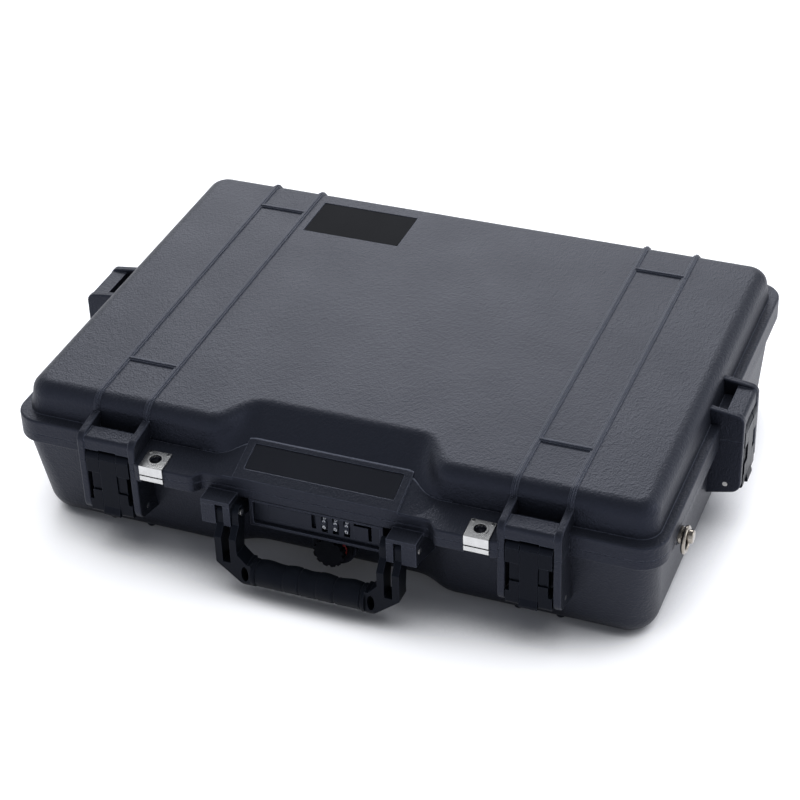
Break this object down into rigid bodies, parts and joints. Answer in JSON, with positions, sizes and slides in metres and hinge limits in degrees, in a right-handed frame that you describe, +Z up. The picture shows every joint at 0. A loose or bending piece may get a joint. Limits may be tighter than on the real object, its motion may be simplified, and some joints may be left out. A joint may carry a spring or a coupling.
{
  "type": "laptop hard case",
  "caption": "Hard moulded laptop case with a hinged lid, fold-out latches, a swinging handle, a combination lock, padlock holes and strap rings.",
  "frame": {"origin": "on the floor, in the middle of the rim's rectangle", "axes": "+X right, -Y front (the handle side), +Z up"},
  "size_m": [0.562, 0.432, 0.128],
  "materials": {
    "shell_plastic": "fine moulded grain, charcoal black",
    "latch_plastic": "smooth satin black",
    "handle_plastic": "smooth satin black",
    "grip_rubber": "soft matte black",
    "seal_rubber": "soft black",
    "stainless": "bright rolled sheet",
    "pin_steel": "drawn pin",
    "dark_chrome": "dark nickel",
    "lock_plastic": "smooth black",
    "lock_steel": "zinc plated",
    "plate_plastic": "flat black sheet",
    "valve_plastic": "black",
    "valve_red": "red silicone ring",
    "foam": "open-cell foam, dark grey"
  },
  "bodies": {
    "base": {"base_shell": "shell_plastic", "base_front_ledge": "shell_plastic", "base_foam": "foam", "hinge_pin_left": "pin_steel", "hinge_pin_right": "pin_steel", "handle_pin_left": "pin_steel", "handle_pin_right": "pin_steel", "lock_housing": "lock_plastic", "lock_dial_axle": "lock_steel", "padlock_plate_base_left": "stainless", "padlock_plate_base_right": "stainless", "valve_body": "valve_plastic", "valve_oring": "valve_red", "strap_stud_left": "dark_chrome", "strap_stud_right": "dark_chrome", "base_latch_guard_front_left": "shell_plastic", "base_latch_guard_front_right": "shell_plastic", "base_latch_guard_side_left": "shell_plastic", "base_latch_guard_side_right": "shell_plastic", "latch_pivot_pin_front_left": "pin_steel", "latch_pivot_pin_front_right": "pin_steel", "latch_pivot_pin_side_left": "pin_steel", "latch_pivot_pin_side_right": "pin_steel"},
    "lid": {"lid_shell": "shell_plastic", "lid_front_ledge": "shell_plastic", "lid_gasket": "seal_rubber", "lid_foam": "foam", "lid_label_plate": "plate_plastic", "front_panel_plate": "plate_plastic", "lock_hasp": "lock_steel", "padlock_plate_lid_left": "stainless", "padlock_plate_lid_right": "stainless", "lid_latch_guard_front_left": "shell_plastic", "lid_latch_guard_front_right": "shell_plastic", "lid_latch_guard_side_left": "shell_plastic", "lid_latch_guard_side_right": "shell_plastic"},
    "handle": {"handle_frame": "handle_plastic", "handle_grip": "grip_rubber"},
    "lock_slider": {"lock_slider": "lock_plastic"},
    "lock_button": {"lock_button": "lock_plastic"},
    "lock_dial_1": {"lock_dial_1": "lock_plastic"},
    "lock_dial_2": {"lock_dial_2": "lock_plastic"},
    "lock_dial_3": {"lock_dial_3": "lock_plastic"},
    "valve_knob": {"valve_knob": "valve_plastic"},
    "strap_ring_left": {"strap_ring_left": "dark_chrome"},
    "strap_ring_right": {"strap_ring_right": "dark_chrome"},
    "latch_front_left": {"latch_frame_front_left": "latch_plastic", "latch_lever_pin_front_left": "pin_steel"},
    "latch_lever_front_left": {"latch_lever_front_left": "latch_plastic"},
    "latch_front_right": {"latch_frame_front_right": "latch_plastic", "latch_lever_pin_front_right": "pin_steel"},
    "latch_lever_front_right": {"latch_lever_front_right": "latch_plastic"},
    "latch_side_left": {"latch_frame_side_left": "latch_plastic", "latch_lever_pin_side_left": "pin_steel"},
    "latch_lever_side_left": {"latch_lever_side_left": "latch_plastic"},
    "latch_side_right": {"latch_frame_side_right": "latch_plastic", "latch_lever_pin_side_right": "pin_steel"},
    "latch_lever_side_right": {"latch_lever_side_right": "latch_plastic"}
  },
  "joints": [
    {"name": "lid_hinge", "type": "hinge", "parent": "base", "child": "lid", "pos_m": [0, 0.199, 0.0886], "axis": [-1, 0, 0], "range_deg": [0, 105]},
    {"name": "handle_swing", "type": "hinge", "parent": "base", "child": "handle", "pos_m": [0, -0.209, 0.0735], "axis": [-1, 0, 0], "range_deg": [0, 90]},
    {"name": "latch_front_left_swing", "type": "hinge", "parent": "base", "child": "latch_front_left", "pos_m": [-0.1683, -0.194, 0.047], "axis": [1, 0, 0], "range_deg": [0, 95]},
    {"name": "latch_front_left_lever", "type": "hinge", "parent": "latch_front_left", "child": "latch_lever_front_left", "pos_m": [-0.1683, -0.2005, 0.092], "axis": [-1, 0, 0], "range_deg": [0, 45]},
    {"name": "latch_front_right_swing", "type": "hinge", "parent": "base", "child": "latch_front_right", "pos_m": [0.1683, -0.194, 0.047], "axis": [1, 0, 0], "range_deg": [0, 95]},
    {"name": "latch_front_right_lever", "type": "hinge", "parent": "latch_front_right", "child": "latch_lever_front_right", "pos_m": [0.1683, -0.2005, 0.092], "axis": [-1, 0, 0], "range_deg": [0, 45]},
    {"name": "latch_side_left_swing", "type": "hinge", "parent": "base", "child": "latch_side_left", "pos_m": [-0.267, 0, 0.047], "axis": [0, -1, 0], "range_deg": [0, 95]},
    {"name": "latch_side_left_lever", "type": "hinge", "parent": "latch_side_left", "child": "latch_lever_side_left", "pos_m": [-0.2735, 0, 0.092], "axis": [0, 1, 0], "range_deg": [0, 45]},
    {"name": "latch_side_right_swing", "type": "hinge", "parent": "base", "child": "latch_side_right", "pos_m": [0.267, 0, 0.047], "axis": [0, 1, 0], "range_deg": [0, 95]},
    {"name": "latch_side_right_lever", "type": "hinge", "parent": "latch_side_right", "child": "latch_lever_side_right", "pos_m": [0.2735, 0, 0.092], "axis": [0, -1, 0], "range_deg": [0, 45]},
    {"name": "lock_slide", "type": "slide", "parent": "base", "child": "lock_slider", "axis": [1, 0, 0], "range_m": [0, 0.003]},
    {"name": "lock_button_press", "type": "slide", "parent": "base", "child": "lock_button", "axis": [0, 1, 0], "range_m": [0, 0.003], "stiffness_N_per_m": 250},
    {"name": "lock_dial_1_turn", "type": "hinge", "parent": "base", "child": "lock_dial_1", "pos_m": [0.006, -0.1918, 0.069], "axis": [1, 0, 0], "continuous": true},
    {"name": "lock_dial_2_turn", "type": "hinge", "parent": "base", "child": "lock_dial_2", "pos_m": [0.015, -0.1918, 0.069], "axis": [1, 0, 0], "continuous": true},
    {"name": "lock_dial_3_turn", "type": "hinge", "parent": "base", "child": "lock_dial_3", "pos_m": [0.024, -0.1918, 0.069], "axis": [1, 0, 0], "continuous": true},
    {"name": "valve_knob_turn", "type": "hinge", "parent": "base", "child": "valve_knob", "pos_m": [0, -0.1775, 0.027], "axis": [0, -1, 0], "range_deg": [0, 180]},
    {"name": "strap_ring_left_swing", "type": "hinge", "parent": "base", "child": "strap_ring_left", "pos_m": [-0.2655, -0.138, 0.0866], "axis": [0, 1, 0], "range_deg": [0, 40]},
    {"name": "strap_ring_right_swing", "type": "hinge", "parent": "base", "child": "strap_ring_right", "pos_m": [0.2655, -0.138, 0.0866], "axis": [0, -1, 0], "range_deg": [0, 40]}
  ]
}
